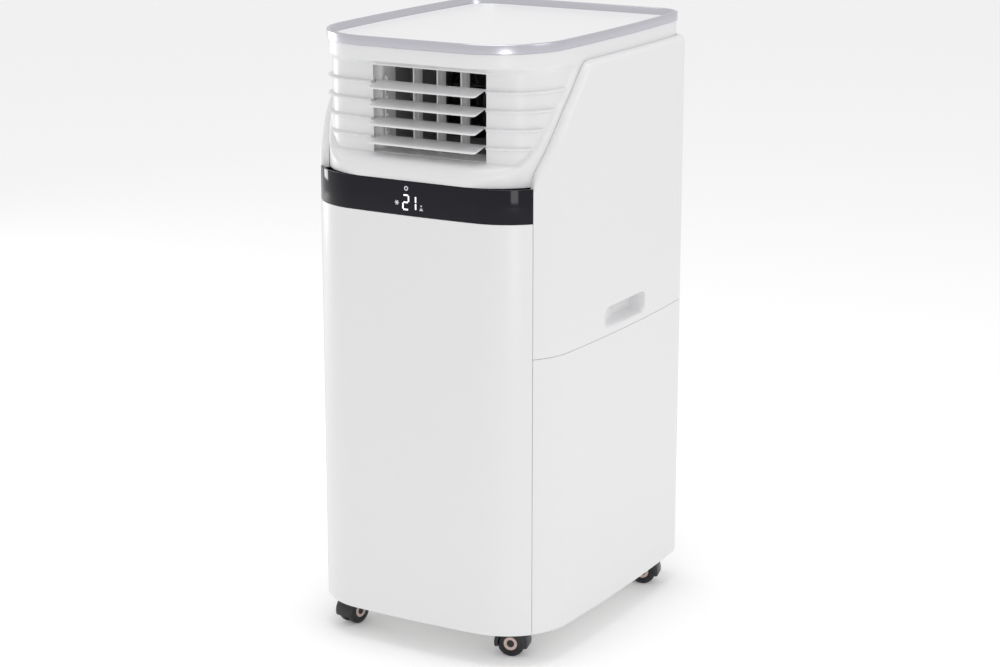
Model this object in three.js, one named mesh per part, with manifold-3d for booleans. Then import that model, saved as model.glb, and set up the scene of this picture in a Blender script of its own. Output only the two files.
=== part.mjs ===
// Portable air conditioner on four twin-wheel casters.
// Millimetres, +Z up, front towards -Y, +X to the right seen from the front.
// Every height below is measured from the underside of the body; the finished
// parts are lifted by BODY_BOTTOM so that the wheels stand on z = 0.
import * as THREE from 'three';
import { mergeVertices } from 'three/addons/utils/BufferGeometryUtils.js';
import Module from 'manifold-3d';

const wasm = await Module();
wasm.setup();

// Heights
const BODY_BOTTOM = 44;
const SIDE_SEAM = 379;
const PANEL_TOP = 558;
const DISPLAY_TOP = 603;
const SHOULDER = 754;
const HEAD_TOP = 773.2;
const RIM_TOP = 786;
const PLATE_TOP = 777;

// Walls and gaps
const WALL = 3.2;
const GAP = 0.3;

// Plan outlines, each made of tangent arcs: bowed front, corner, bowed side, rear corner, rear
const BODY = {
  halfWidth: 187.5, front: -231, frontSag: 9.8, frontCorner: 94,
  sideSag: 9.5, rear: 231, rearSag: 0.5, rearCorner: 45,
};
const HEAD = {
  halfWidth: 175, front: -229, frontSag: 3, frontCorner: 100,
  sideSag: 8.7, rear: 225, rearSag: 0.5, rearCorner: 40,
};
const DISH = {
  halfWidth: 170, front: -201, frontSag: 4, frontCorner: 66,
  sideSag: 4, rear: 216, rearSag: 0.5, rearCorner: 40,
};
const SEAM_ANGLE = THREE.MathUtils.degToRad(-40);

// Air outlet
const OUTLET_HALF = 97;
const OUTLET_LOW = 631;
const OUTLET_HIGH = 745;
const THROAT_HALF = 72;
const RIB_DEPTH = 4.5;
const BLADE_HEIGHTS = [723, 699, 675, 651];
const BLADE_PIVOT_Y = -192;
const BLADE_TILT = THREE.MathUtils.degToRad(12);
const BLADE_CRANK = 12;
const LINK_X = -66.9;
const VANE_OFFSETS = [-26, 10, 46];
const VANE_PIVOT_Y = -168;

// Grip pockets
const GRIP_FRONT = -45;
const GRIP_REAR = 77;
const GRIP_LOW = 388;
const GRIP_HIGH = 418;

// Rear openings
const WINDOW_HALF = 118;
const UPPER_WINDOW = [585, 735];
const LOWER_WINDOW = [60, 335];
const EXHAUST_Z = 462;
const EXHAUST_RADIUS = 66;
const UPPER_DRAIN = [60, 357];
const LOWER_DRAIN = [60, 40];
const CORD_INLET = [-100, 40];
const SCREWS = [[-132, 32], [132, 32], [-132, 366], [132, 366], [-132, 741], [132, 741]];

// Fans
const UPPER_FAN = { y: 20, z: 670, wheel: 64, scroll: 80 };
const LOWER_FAN = { y: 40, z: 440, wheel: 68, scroll: 84 };
const FAN_HALF = 74.5;

// Casters: place in plan and the heading of the trailing wheel
const WHEEL_RADIUS = 19;
const CASTER_TRAIL = 12;
const CASTERS = [
  { place: [-130, -166], heading: -100 },
  { place: [130, -166], heading: -165 },
  { place: [134, 164], heading: 15 },
  { place: [-134, 164], heading: 100 },
];

// Finishes
const FINISH = {
  whiteShell: { color: '#ededec', roughness: 0.35, metalness: 0 },
  whiteInner: { color: '#dcdcd9', roughness: 0.55, metalness: 0 },
  satinRim: { color: '#b9b7be', roughness: 0.3, metalness: 0.75 },
  blackWindow: { color: '#1b1820', roughness: 0.12, metalness: 0 },
  darkPlastic: { color: '#2a2a2c', roughness: 0.6, metalness: 0 },
  blackCaster: { color: '#161617', roughness: 0.45, metalness: 0 },
  filterMesh: { color: '#7d8890', roughness: 0.8, metalness: 0 },
  finMetal: { color: '#c3c6c8', roughness: 0.4, metalness: 0.9 },
  paintedSteel: { color: '#9a9d9f', roughness: 0.5, metalness: 0.6 },
  blackSteel: { color: '#1d1e20', roughness: 0.45, metalness: 0.5 },
  boardGreen: { color: '#2f6b45', roughness: 0.6, metalness: 0 },
  screwSteel: { color: '#a9abad', roughness: 0.35, metalness: 0.9 },
};

const group = new THREE.Group();

// ---------------------------------------------------------------- solids

function solidOf(geometry) {
  geometry.deleteAttribute('normal');
  geometry.deleteAttribute('uv');
  const merged = mergeVertices(geometry, 1e-4);
  return new wasm.Manifold(new wasm.Mesh({
    numProp: 3,
    vertProperties: new Float32Array(merged.attributes.position.array),
    triVerts: new Uint32Array(merged.index.array),
  }));
}

function extrusion(points, depth) {
  const shape = new THREE.Shape(points.map(([a, b]) => new THREE.Vector2(a, b)));
  return new THREE.ExtrudeGeometry(shape, { depth, bevelEnabled: false });
}

// Plan outline carried up from z0 to z1.
function prism(points, z0, z1) {
  return solidOf(extrusion(points, z1 - z0).translate(0, 0, z0));
}

// Side profile in (y, z) carried across from x0 to x1.
function sidePrism(points, x0, x1) {
  const turn = new THREE.Matrix4().set(0, 0, 1, x0, 1, 0, 0, 0, 0, 1, 0, 0, 0, 0, 0, 1);
  return solidOf(extrusion(points, x1 - x0).applyMatrix4(turn));
}

function box(x0, x1, y0, y1, z0, z1) {
  const block = new THREE.BoxGeometry(x1 - x0, y1 - y0, z1 - z0);
  return solidOf(block.translate((x0 + x1) / 2, (y0 + y1) / 2, (z0 + z1) / 2));
}

function rodX(radius, x0, x1, y, z, sides = 16) {
  const rod = new THREE.CylinderGeometry(radius, radius, x1 - x0, sides);
  return solidOf(rod.rotateZ(Math.PI / 2).translate((x0 + x1) / 2, y, z));
}

function rodY(radius, y0, y1, x, z, sides = 16) {
  const rod = new THREE.CylinderGeometry(radius, radius, y1 - y0, sides);
  return solidOf(rod.translate(x, (y0 + y1) / 2, z));
}

function rodZ(radius, z0, z1, x, y, sides = 16) {
  const rod = new THREE.CylinderGeometry(radius, radius, z1 - z0, sides);
  return solidOf(rod.rotateX(Math.PI / 2).translate(x, y, (z0 + z1) / 2));
}

// Closed solid through convex outlines of equal point count, one per level.
function loft(levels) {
  const count = levels[0].points.length;
  const top = (levels.length - 1) * count;
  const positions = levels.flatMap(({ z, points }) => points.flatMap(([x, y]) => [x, y, z]));
  const index = [];
  for (let level = 0; level < top; level += count) {
    for (let i = 0; i < count; i += 1) {
      const a = level + i;
      const b = level + ((i + 1) % count);
      index.push(a, b, b + count, a, b + count, a + count);
    }
  }
  for (let i = 1; i < count - 1; i += 1) {
    index.push(0, i + 1, i, top, top + i, top + i + 1);
  }
  const geometry = new THREE.BufferGeometry();
  geometry.setAttribute('position', new THREE.Float32BufferAttribute(positions, 3));
  geometry.setIndex(index);
  return solidOf(geometry);
}

function addPart(name, solid, finish) {
  const { vertProperties, triVerts } = solid.getMesh();
  const geometry = new THREE.BufferGeometry();
  const positions = new THREE.Float32BufferAttribute(Float32Array.from(vertProperties), 3);
  geometry.setAttribute('position', positions);
  geometry.setIndex(new THREE.Uint32BufferAttribute(Uint32Array.from(triVerts), 1));
  geometry.translate(0, 0, BODY_BOTTOM);
  geometry.computeVertexNormals();
  const mesh = new THREE.Mesh(geometry, new THREE.MeshStandardMaterial(finish));
  mesh.name = name;
  group.add(mesh);
}

// ---------------------------------------------------------------- plan outlines

// Centre of the arc of the given radius that rolls inside two larger circles.
function cornerCentre(first, firstRadius, second, secondRadius, radius, towards) {
  const a = firstRadius - radius;
  const b = secondRadius - radius;
  const span = second.clone().sub(first);
  const distance = span.length();
  const along = (a * a - b * b + distance * distance) / (2 * distance);
  const across = Math.sqrt(Math.max(a * a - along * along, 0));
  const unit = span.divideScalar(distance);
  const normal = new THREE.Vector2(-unit.y, unit.x);
  const base = first.clone().addScaledVector(unit, along);
  const options = [across, -across].map((h) => base.clone().addScaledVector(normal, h));
  const score = (p) => p.x + towards * p.y;
  return score(options[0]) > score(options[1]) ? options[0] : options[1];
}

function arcPoints(centre, radius, from, to, steps) {
  return Array.from({ length: steps }, (_, i) => {
    const angle = from + ((to - from) * i) / steps;
    return [centre.x + radius * Math.cos(angle), centre.y + radius * Math.sin(angle)];
  });
}

// The five arcs of an outline, right-hand half, with their centres and radii.
function outlineArcs(size) {
  const middle = (size.front + size.rear) / 2;
  const halfLength = (size.rear - size.front) / 2;
  const bow = (half, sag) => (half * half + sag * sag) / (2 * sag);
  const frontRadius = bow(size.halfWidth, size.frontSag);
  const sideRadius = bow(halfLength, size.sideSag);
  const rearRadius = bow(size.halfWidth, size.rearSag);
  const front = new THREE.Vector2(0, size.front + frontRadius);
  const side = new THREE.Vector2(size.halfWidth - sideRadius, middle);
  const rear = new THREE.Vector2(0, size.rear - rearRadius);
  const corner = cornerCentre(front, frontRadius, side, sideRadius, size.frontCorner, -1);
  const back = cornerCentre(rear, rearRadius, side, sideRadius, size.rearCorner, 1);
  const angle = (centre, from) => Math.atan2(centre.y - from.y, centre.x - from.x);
  const turns = [angle(corner, front), angle(corner, side), angle(back, side), angle(back, rear)];
  return [
    { centre: front, radius: frontRadius, from: -Math.PI / 2, to: turns[0], steps: 5 },
    { centre: corner, radius: size.frontCorner, from: turns[0], to: turns[1], steps: 8 },
    { centre: side, radius: sideRadius, from: turns[1], to: turns[2], steps: 5 },
    { centre: back, radius: size.rearCorner, from: turns[2], to: turns[3], steps: 5 },
    { centre: rear, radius: rearRadius, from: turns[3], to: Math.PI / 2, steps: 1 },
  ];
}

// Counter-clockwise outline, moved inwards by the inset.
function outline(size, inset = 0) {
  const right = outlineArcs(size).flatMap(({ centre, radius, from, to, steps }) => (
    arcPoints(centre, radius - inset, from, to, steps)));
  right.push([0, size.rear - inset]);
  const left = right.slice(1, -1).reverse().map(([x, y]) => [-x, y]);
  return [...right, ...left];
}

// Outline part of the way from the head to the dish floor.
function headOutline(depth, inset) {
  const head = outline(HEAD, inset);
  const dish = outline(DISH, inset);
  return head.map(([x, y], i) => [x + (dish[i][0] - x) * depth, y + (dish[i][1] - y) * depth]);
}

// Plan wedge in front of the two vertical seams, widened by the offset.
function frontWedge(offset) {
  const corner = outlineArcs(BODY)[1].centre;
  const apex = [corner.x - Math.sin(SEAM_ANGLE) * offset, corner.y + Math.cos(SEAM_ANGLE) * offset];
  const far = [apex[0] + 400 * Math.cos(SEAM_ANGLE), apex[1] + 400 * Math.sin(SEAM_ANGLE)];
  return [[-far[0], far[1]], far, apex, [-apex[0], apex[1]]];
}

function bodyWall(z0, z1) {
  return prism(outline(BODY), z0, z1).subtract(prism(outline(BODY, WALL), z0 - 1, z1 + 1));
}

// ---------------------------------------------------------------- outer shells

function baseTray() {
  const inset = WALL + 0.4;
  let tray = prism(outline(BODY, inset), 0, 24);
  tray = tray.subtract(prism(outline(BODY, inset + 3), 8, 30));
  for (const { place } of CASTERS) {
    tray = tray.subtract(rodZ(5.4, -1, 9, place[0], place[1], 12));
  }
  return tray;
}

function frontPiece(z0, z1) {
  return bodyWall(z0, z1).intersect(prism(frontWedge(-GAP), z0 - 1, z1 + 1));
}

function roundedSlot(front, rear, low, high, radius) {
  const points = [];
  const corners = [[rear, low, -90], [rear, high, 0], [front, high, 90], [front, low, 180]];
  for (const [a, b, start] of corners) {
    const centre = {
      x: a + (a === rear ? -radius : radius),
      y: b + (b === low ? radius : -radius),
    };
    const from = THREE.MathUtils.degToRad(start);
    points.push(...arcPoints(centre, radius, from, from + Math.PI / 2, 3));
    points.push([
      centre.x + radius * Math.cos(from + Math.PI / 2),
      centre.y + radius * Math.sin(from + Math.PI / 2),
    ]);
  }
  return points;
}

function screwHoles(solid, wanted) {
  return SCREWS.filter(([, z]) => wanted(z)).reduce((body, [x, z]) => (
    body.subtract(rodY(3.9, 228.9, 235, x, z, 8)).subtract(rodY(2, 220, 235, x, z, 8))
  ), solid);
}

function rearUpperShell() {
  const low = SIDE_SEAM + GAP;
  const edge = [[-196, 600], [-190, 620], [-180, 637], [-139, 695], [-92, 748], [-84, SHOULDER]];
  const keep = [[-300, low], [-300, 600], ...edge, [300, SHOULDER], [300, low]];
  const innerEdge = [[-192.5, 600], [-186.6, 621], [-176.9, 639], [-136.2, 697.3], [-90.3, 750.5]];
  const hollow = [[-300, low - 1], [-300, 600], ...innerEdge, [300, 750.5], [300, low - 1]];
  const inside = prism(outline(BODY, WALL), low - 1, SHOULDER).intersect(sidePrism(hollow, -250, 250));
  let shell = prism(outline(BODY), low, SHOULDER)
    .intersect(sidePrism(keep.reverse(), -250, 250))
    .subtract(prism(frontWedge(GAP), low - 1, SHOULDER + 1))
    .subtract(prism(outline(HEAD, -0.4), 602, SHOULDER + 1))
    .subtract(inside);
  const grip = roundedSlot(GRIP_FRONT, GRIP_REAR, GRIP_LOW, GRIP_HIGH, 12);
  shell = shell.subtract(sidePrism(grip, 150, 250)).subtract(sidePrism(grip, -250, -150));
  shell = shell.subtract(box(-WINDOW_HALF, WINDOW_HALF, 215, 240, ...UPPER_WINDOW));
  shell = shell.subtract(rodY(EXHAUST_RADIUS + 0.4, 215, 240, 0, EXHAUST_Z, 32));
  return screwHoles(shell, (z) => z > SIDE_SEAM);
}

function rearLowerShell() {
  let shell = bodyWall(0, SIDE_SEAM - GAP).subtract(prism(frontWedge(GAP), -1, SIDE_SEAM));
  shell = shell.subtract(box(-WINDOW_HALF, WINDOW_HALF, 215, 240, ...LOWER_WINDOW));
  for (const [x, z] of [UPPER_DRAIN, LOWER_DRAIN]) {
    shell = shell.subtract(rodY(9, 215, 240, x, z, 16));
  }
  shell = shell.subtract(rodY(8.4, 215, 240, ...CORD_INLET, 20));
  return screwHoles(shell, (z) => z < SIDE_SEAM);
}

// Levels of the dish recess: height and how far the outline has moved to the dish floor.
function dishLevels(bottom, top, shift, inset) {
  const lip = [606, 613, 620, 625, 628.5].map((z) => [z, 1 - Math.sqrt(1 - ((z - 606) / 25) ** 2)]);
  const heights = [
    [bottom, 0],
    ...lip.map(([z, depth]) => [z - shift, depth]),
    [631 - shift, 1],
    [747 + shift, 1],
    [759 + shift, 0],
    [top, 0],
  ];
  return heights.map(([z, depth]) => ({ z, points: headOutline(depth, inset) }));
}

function headShell() {
  const low = DISPLAY_TOP + GAP;
  const behind = -40;
  let head = loft(dishLevels(low, HEAD_TOP, 0, 0));
  head = head.add(prism(outline(HEAD), low, HEAD_TOP).intersect(box(-200, 200, behind, 240, 590, 780)));
  const front = loft(dishLevels(low - 4, HEAD_TOP - 3.7, 3, WALL));
  const rear = prism(outline(HEAD, WALL), low - 4, HEAD_TOP - 3.7);
  head = head.subtract(front);
  head = head.subtract(rear.intersect(box(-200, 200, behind + WALL, 240, 590, 780)));
  const side = prism(outline(DISH, -RIB_DEPTH), 600, 760)
    .subtract(prism(outline(DISH, 1.5), 590, 770))
    .intersect(box(-200, 200, -240, behind + 1, 590, 780))
    .intersect(prism(outline(HEAD, 1.2), 590, 780))
    .subtract(box(-OUTLET_HALF, OUTLET_HALF, -240, -150, 590, 780));
  for (const z of BLADE_HEIGHTS) {
    head = head.add(side.intersect(box(-200, 200, -240, 0, z - 1.4, z + 1.4)));
  }
  head = head.subtract(box(-OUTLET_HALF, OUTLET_HALF, -240, -185, OUTLET_LOW, OUTLET_HIGH));
  head = head.subtract(prism(outline(HEAD, 24), HEAD_TOP - 5, HEAD_TOP + 1));
  return head.subtract(box(-135, 135, 200, 240, 590, 745));
}

function topRim() {
  const outside = prism(outline(HEAD, -1.5), HEAD_TOP + GAP, RIM_TOP);
  const inside = loft([
    { z: HEAD_TOP - 1, points: outline(HEAD, 7.5) },
    { z: PLATE_TOP, points: outline(HEAD, 7.5) },
    { z: RIM_TOP + 1, points: outline(HEAD, 3.2) },
  ]);
  return outside.subtract(inside);
}

function gripCup(side) {
  const mirror = (points) => points.map(([x, y]) => [side * x, y]);
  const outer = [[190, -48.5], [190, 80.5], [159.5, 80.5], [159.5, 10], [178, -48.5]];
  const pocket = [[200, -45], [200, 77], [162, 77], [162, 12], [181, -45]];
  return prism(mirror(outer), GRIP_LOW - 3, GRIP_HIGH + 3)
    .subtract(prism(mirror(pocket), GRIP_LOW, GRIP_HIGH))
    .intersect(prism(outline(BODY, WALL + GAP), 350, 450));
}

// ---------------------------------------------------------------- air outlet

function outletDuct() {
  const front = -195.9;
  const rear = -112;
  const plan = (grow, ends) => {
    const mouth = 96.5 + grow;
    const throat = THROAT_HALF + grow;
    return [
      [-mouth, front - ends], [mouth, front - ends], [94.5 + grow, -150],
      [throat, rear + ends], [-throat, rear + ends],
      [-throat, grow - 180.5], [-mouth, grow - 188],
    ];
  };
  let duct = prism(plan(2.5, 0), OUTLET_LOW - 1.5, OUTLET_HIGH + 1.5);
  duct = duct.subtract(prism(plan(0, 1), OUTLET_LOW + 1, OUTLET_HIGH - 1));
  for (const z of BLADE_HEIGHTS) {
    duct = duct.subtract(rodX(1.9, -120, 120, BLADE_PIVOT_Y, z, 8));
  }
  for (const x of VANE_OFFSETS) {
    duct = duct.subtract(rodZ(1.9, OUTLET_LOW - 5, OUTLET_HIGH + 5, x, VANE_PIVOT_Y, 8));
  }
  return duct;
}

// Side profile turned about the blade's pivot by the rest tilt.
function tilted(points, z) {
  const cosine = Math.cos(BLADE_TILT);
  const sine = Math.sin(BLADE_TILT);
  return points.map(([a, b]) => [
    BLADE_PIVOT_Y + a * cosine - b * sine,
    z + a * sine + b * cosine,
  ]);
}

function louvreBlade(z) {
  const chord = [[2.2, -1.2], [2.2, 1.2], [1, 1.7], [-14, 1.6], [-26, 1], [-27, 0], [-26, -1], [-14, -1.4], [1, -1.7]];
  const crank = [[-2, -1.4], [BLADE_CRANK + 1, -2.4], [BLADE_CRANK + 2.6, 0], [BLADE_CRANK + 1, 2.4], [-2, 1.4]];
  const [[pinY, pinZ]] = tilted([[BLADE_CRANK, 0]], z);
  return sidePrism(tilted(chord, z), -90, 90)
    .add(rodX(1.5, -95.4, 95.4, BLADE_PIVOT_Y, z, 8))
    .add(sidePrism(tilted(crank, z), -65, -63))
    .subtract(rodX(1.5, -67, -62, pinY, pinZ, 8));
}

function louvreLinkRod() {
  const pins = BLADE_HEIGHTS.map((z) => tilted([[BLADE_CRANK, 0]], z)[0]);
  const [y, top] = pins[0];
  const bottom = pins[pins.length - 1][1];
  const bar = box(LINK_X - 1.4, LINK_X + 1.4, y - 2.2, y + 2.2, bottom - 4, top + 4);
  return pins.reduce((rod, [pinY, z]) => rod.add(rodX(1.2, LINK_X, -62.6, pinY, z, 8)), bar);
}

function verticalVane(x) {
  return box(x - 1, x + 1, VANE_PIVOT_Y - 10, VANE_PIVOT_Y + 10, OUTLET_LOW + 3, OUTLET_HIGH - 3)
    .add(rodZ(1.5, OUTLET_LOW - 1.3, OUTLET_HIGH + 1.3, x, VANE_PIVOT_Y, 8))
    .add(box(x - 1, x + 1, VANE_PIVOT_Y + 9, VANE_PIVOT_Y + 16, 640, 642))
    .add(rodZ(0.9, 641, 645, x, VANE_PIVOT_Y + 14, 8));
}

function vaneLinkBar() {
  const y = VANE_PIVOT_Y + 14;
  return VANE_OFFSETS.reduce((bar, x) => bar.subtract(rodZ(1.3, 640, 646, x, y, 8)),
    box(-30, 50, y - 2.5, y + 2.5, 642.3, 644.3));
}

// ---------------------------------------------------------------- rear fittings

function intakeGrille([low, high]) {
  const half = WINDOW_HALF - 0.4;
  const bottom = low + 0.4;
  const top = high - 0.4;
  let grille = box(-half, half, 227.6, 230.7, bottom, top);
  const rows = Math.round((top - bottom - 14) / 16);
  const pitch = (top - bottom - 14) / rows;
  for (let row = 0; row < rows; row += 1) {
    const z = bottom + 7 + pitch * (row + 0.5);
    for (const x of [-73, 0, 73]) {
      grille = grille.subtract(box(x - 33, x + 33, 225, 235, z - 4, z + 4));
    }
  }
  return grille;
}

function airFilter([low, high]) {
  const half = WINDOW_HALF - 6;
  let filter = box(-half, half, 223.4, 226.6, low + 6, high - 6);
  const rows = Math.round((high - low) / 45);
  const cell = (high - low - 12) / rows;
  for (let row = 0; row < rows; row += 1) {
    const z = low + 6 + cell * (row + 0.5);
    for (const x of [-74, 0, 74]) {
      filter = filter.subtract(box(x - 33, x + 33, 222, 225.6, z - cell / 2 + 3, z + cell / 2 - 3));
    }
  }
  return filter;
}

function exhaustCollar() {
  return rodY(EXHAUST_RADIUS, 182, 230.8, 0, EXHAUST_Z, 32)
    .add(rodY(EXHAUST_RADIUS + 11, 223.5, 227.2, 0, EXHAUST_Z, 32))
    .subtract(rodY(EXHAUST_RADIUS - 4, 180, 240, 0, EXHAUST_Z, 32));
}

function drainPlug([x, z]) {
  return rodY(8.6, 226.8, 230.8, x, z, 16).add(rodY(6, 212, 227, x, z, 16));
}

function cordGland([x, z]) {
  return rodY(8, 220, 230.8, x, z, 16)
    .add(rodY(11, 223.6, 227.2, x, z, 16))
    .subtract(rodY(4.5, 219, 240, x, z, 16));
}

function rearScrew([x, z]) {
  return rodY(3.5, 229.2, 230.7, x, z, 8).add(rodY(1.6, 214, 230, x, z, 8));
}

// ---------------------------------------------------------------- inside

function coil(low, high, half) {
  let block = box(-half, half, 160, 192, low, high);
  const fins = 18;
  const pitch = (2 * half - 16) / fins;
  for (let fin = 0; fin < fins; fin += 1) {
    const x = -half + 8 + pitch * (fin + 0.5);
    block = block.subtract(box(x - 3, x + 3, 180, 193, low + 6, high - 6));
  }
  return block;
}

function midTray() {
  return prism(outline(BODY, 12), 566, 584)
    .intersect(box(-200, 200, -214, 200, 560, 590))
    .subtract(prism(outline(BODY, 15), 569, 590).intersect(box(-200, 200, -211, 197, 560, 590)));
}

function bulkhead() {
  return box(-150, 150, 138, 140, 8.3, 560)
    .add(box(-150, 150, -70, 139, 345, 348))
    .subtract(box(-125, 125, 130, 150, 50, 330))
    .subtract(box(-76, 76, 130, 150, 396, 528));
}

function blowerHousing(fan, end, low, high, feetLow) {
  const wall = 2.2;
  const half = FAN_HALF;
  const reach = Math.sign(end - fan.y);
  const span = (grow) => [Math.min(fan.y, end + reach * grow), Math.max(fan.y, end + reach * grow)];
  const inner = rodX(fan.scroll - wall, wall - half, half - wall, fan.y, fan.z, 28)
    .add(box(wall - half, half - wall, ...span(2), low + wall, high - wall));
  const feet = [-half + 4, half - 14].reduce((legs, x) => (
    legs.add(box(x, x + 10, fan.y - 30, fan.y + 30, feetLow, fan.z - fan.scroll + 10))
  ), rodX(fan.scroll, -half, half, fan.y, fan.z, 28));
  return feet
    .add(box(-half, half, ...span(0), low, high))
    .subtract(inner)
    .subtract(rodX(46, -half - 1, half + 1, fan.y, fan.z, 20));
}

function fanWheel(fan) {
  const half = 60;
  const ring = (x0, x1) => rodX(fan.wheel, x0, x1, fan.y, fan.z, 20)
    .subtract(rodX(fan.wheel - 9, x0 - 1, x1 + 1, fan.y, fan.z, 20));
  let wheel = rodX(fan.wheel, -2, 2, fan.y, fan.z, 20)
    .add(rodX(12, -10, 10, fan.y, fan.z, 16))
    .add(ring(-half, -half + 3))
    .add(ring(half - 3, half));
  const blades = 12;
  for (let i = 0; i < blades; i += 1) {
    const blade = new THREE.BoxGeometry(2 * half - 2, 1.8, 7.4);
    blade.rotateX(0.5).translate(0, 0, fan.wheel - 4.8);
    blade.rotateX((i * 2 * Math.PI) / blades).translate(0, fan.y, fan.z);
    wheel = wheel.add(solidOf(blade));
  }
  return wheel.subtract(rodX(4.3, -12, 12, fan.y, fan.z, 16));
}

function fanMotor(fan) {
  const face = FAN_HALF + GAP;
  return rodX(34, face + 3, face + 48, fan.y, fan.z, 20)
    .add(box(face, face + 4, fan.y - 56, fan.y + 56, fan.z - 7, fan.z + 7))
    .add(box(face, face + 4, fan.y - 7, fan.y + 7, fan.z - 56, fan.z + 56))
    .add(rodX(4, -9, face + 4, fan.y, fan.z, 16));
}

function compressor() {
  const points = [[0, 12], [66, 12], [66, 16], [58, 20], [58, 200], [52, 214], [34, 224], [0, 228]];
  const profile = points.map(([r, z]) => new THREE.Vector2(r, z));
  const can = new THREE.LatheGeometry(profile, 28);
  return solidOf(can.rotateX(Math.PI / 2).translate(-70, -80, 0))
    .add(rodZ(22, 60, 190, -70 + 72, -80, 20))
    .add(box(-20, 0, -86, -74, 100, 112));
}

function controlBox() {
  return box(-75, 75, -214, -176, 430, 540).subtract(box(-72, 72, -211, -170, 433, 537));
}

function displayBoard() {
  return box(-68, 68, -223.5, -221.5, 562, 600).add(box(-20, 20, -224.6, -223, 570, 592));
}

function splashMotor() {
  return rodY(20, 42, 104, 80, 38, 20).add(rodY(3, 100, 124, 80, 38, 12)).add(box(62, 98, 50, 96, 8.3, 30));
}

function splashWheel() {
  let wheel = rodY(18, 112, 120, 80, 38, 20);
  for (let i = 0; i < 8; i += 1) {
    const paddle = new THREE.BoxGeometry(2, 8, 12).translate(0, 0, 20);
    paddle.rotateY((i * Math.PI) / 4).translate(80, 116, 38);
    wheel = wheel.add(solidOf(paddle));
  }
  return wheel.subtract(rodY(3.3, 110, 122, 80, 38, 12));
}

// ---------------------------------------------------------------- casters

// Builds a caster piece about its stem, then turns it to its heading and puts it in place.
function placed(solid, { place, heading }) {
  return solid.rotate([0, 0, heading]).translate([place[0], place[1], 0]);
}

function casterHood() {
  const axle = WHEEL_RADIUS - BODY_BOTTOM;
  const wheel = (inner, outer) => rodY(WHEEL_RADIUS + 0.8, inner, outer, CASTER_TRAIL, axle, 24);
  return rodY(WHEEL_RADIUS + 3, -14.2, 14.2, CASTER_TRAIL, axle, 24)
    .intersect(box(-30, 50, -20, 20, axle - 3, 0))
    .add(rodY(12, -3.2, 3.2, CASTER_TRAIL, axle, 12))
    .add(rodZ(12, axle + 4, -GAP, 0, 0, 16))
    .subtract(wheel(3.3, 20))
    .subtract(wheel(-20, -3.3))
    .subtract(rodY(3.4, -5, 5, CASTER_TRAIL, axle, 10))
    .add(rodZ(5, -6, 7, 0, 0, 12));
}

function casterWheel() {
  const axle = WHEEL_RADIUS - BODY_BOTTOM;
  const recess = (inner, outer) => rodY(11, inner, outer, CASTER_TRAIL, axle, 16);
  return rodY(WHEEL_RADIUS, 3.7, 13.7, CASTER_TRAIL, axle, 24)
    .add(rodY(WHEEL_RADIUS, -13.7, -3.7, CASTER_TRAIL, axle, 24))
    .add(rodY(3, -5, 5, CASTER_TRAIL, axle, 10))
    .subtract(recess(12, 15))
    .subtract(recess(-15, -12));
}

// ---------------------------------------------------------------- assembly

addPart('base_tray', baseTray(), FINISH.whiteInner);
addPart('front_panel', frontPiece(0, PANEL_TOP - GAP), FINISH.whiteShell);
addPart('display_window', frontPiece(PANEL_TOP + GAP, DISPLAY_TOP - GAP), FINISH.blackWindow);
addPart('head_shell', headShell(), FINISH.whiteShell);
addPart('rear_upper_shell', rearUpperShell(), FINISH.whiteShell);
addPart('rear_lower_shell', rearLowerShell(), FINISH.whiteShell);
addPart('top_rim', topRim(), FINISH.satinRim);
addPart('top_plate', prism(outline(HEAD, 7.9), HEAD_TOP + GAP, PLATE_TOP), FINISH.whiteShell);
addPart('grip_cup_left', gripCup(-1), FINISH.whiteShell);
addPart('grip_cup_right', gripCup(1), FINISH.whiteShell);

addPart('outlet_duct', outletDuct(), FINISH.whiteInner);
BLADE_HEIGHTS.forEach((z, i) => addPart(`louvre_blade_${i + 1}`, louvreBlade(z), FINISH.whiteShell));
addPart('louvre_link_rod', louvreLinkRod(), FINISH.whiteInner);
VANE_OFFSETS.forEach((x, i) => addPart(`vane_${i + 1}`, verticalVane(x), FINISH.whiteInner));
addPart('vane_link_bar', vaneLinkBar(), FINISH.whiteInner);

addPart('upper_intake_grille', intakeGrille(UPPER_WINDOW), FINISH.whiteShell);
addPart('upper_filter', airFilter(UPPER_WINDOW), FINISH.filterMesh);
addPart('lower_intake_grille', intakeGrille(LOWER_WINDOW), FINISH.whiteShell);
addPart('lower_filter', airFilter(LOWER_WINDOW), FINISH.filterMesh);
addPart('exhaust_collar', exhaustCollar(), FINISH.darkPlastic);
addPart('upper_drain_plug', drainPlug(UPPER_DRAIN), FINISH.darkPlastic);
addPart('lower_drain_plug', drainPlug(LOWER_DRAIN), FINISH.darkPlastic);
addPart('cord_gland', cordGland(CORD_INLET), FINISH.darkPlastic);
SCREWS.forEach((place, i) => addPart(`rear_screw_${i + 1}`, rearScrew(place), FINISH.screwSteel));

addPart('evaporator', coil(569.4, 725, 115), FINISH.finMetal);
addPart('condenser', coil(30, 350, 118), FINISH.finMetal);
addPart('mid_tray', midTray(), FINISH.whiteInner);
addPart('bulkhead', bulkhead(), FINISH.paintedSteel);
addPart('upper_blower_housing', blowerHousing(UPPER_FAN, -111.7, 629.4, 746.6, 569.3), FINISH.darkPlastic);
addPart('upper_fan_wheel', fanWheel(UPPER_FAN), FINISH.darkPlastic);
addPart('upper_fan_motor', fanMotor(UPPER_FAN), FINISH.paintedSteel);
addPart('lower_blower_housing', blowerHousing(LOWER_FAN, 181.6, 398, 526, 348.3), FINISH.darkPlastic);
addPart('lower_fan_wheel', fanWheel(LOWER_FAN), FINISH.darkPlastic);
addPart('lower_fan_motor', fanMotor(LOWER_FAN), FINISH.paintedSteel);
addPart('compressor', compressor(), FINISH.blackSteel);
addPart('control_box', controlBox(), FINISH.darkPlastic);
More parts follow.
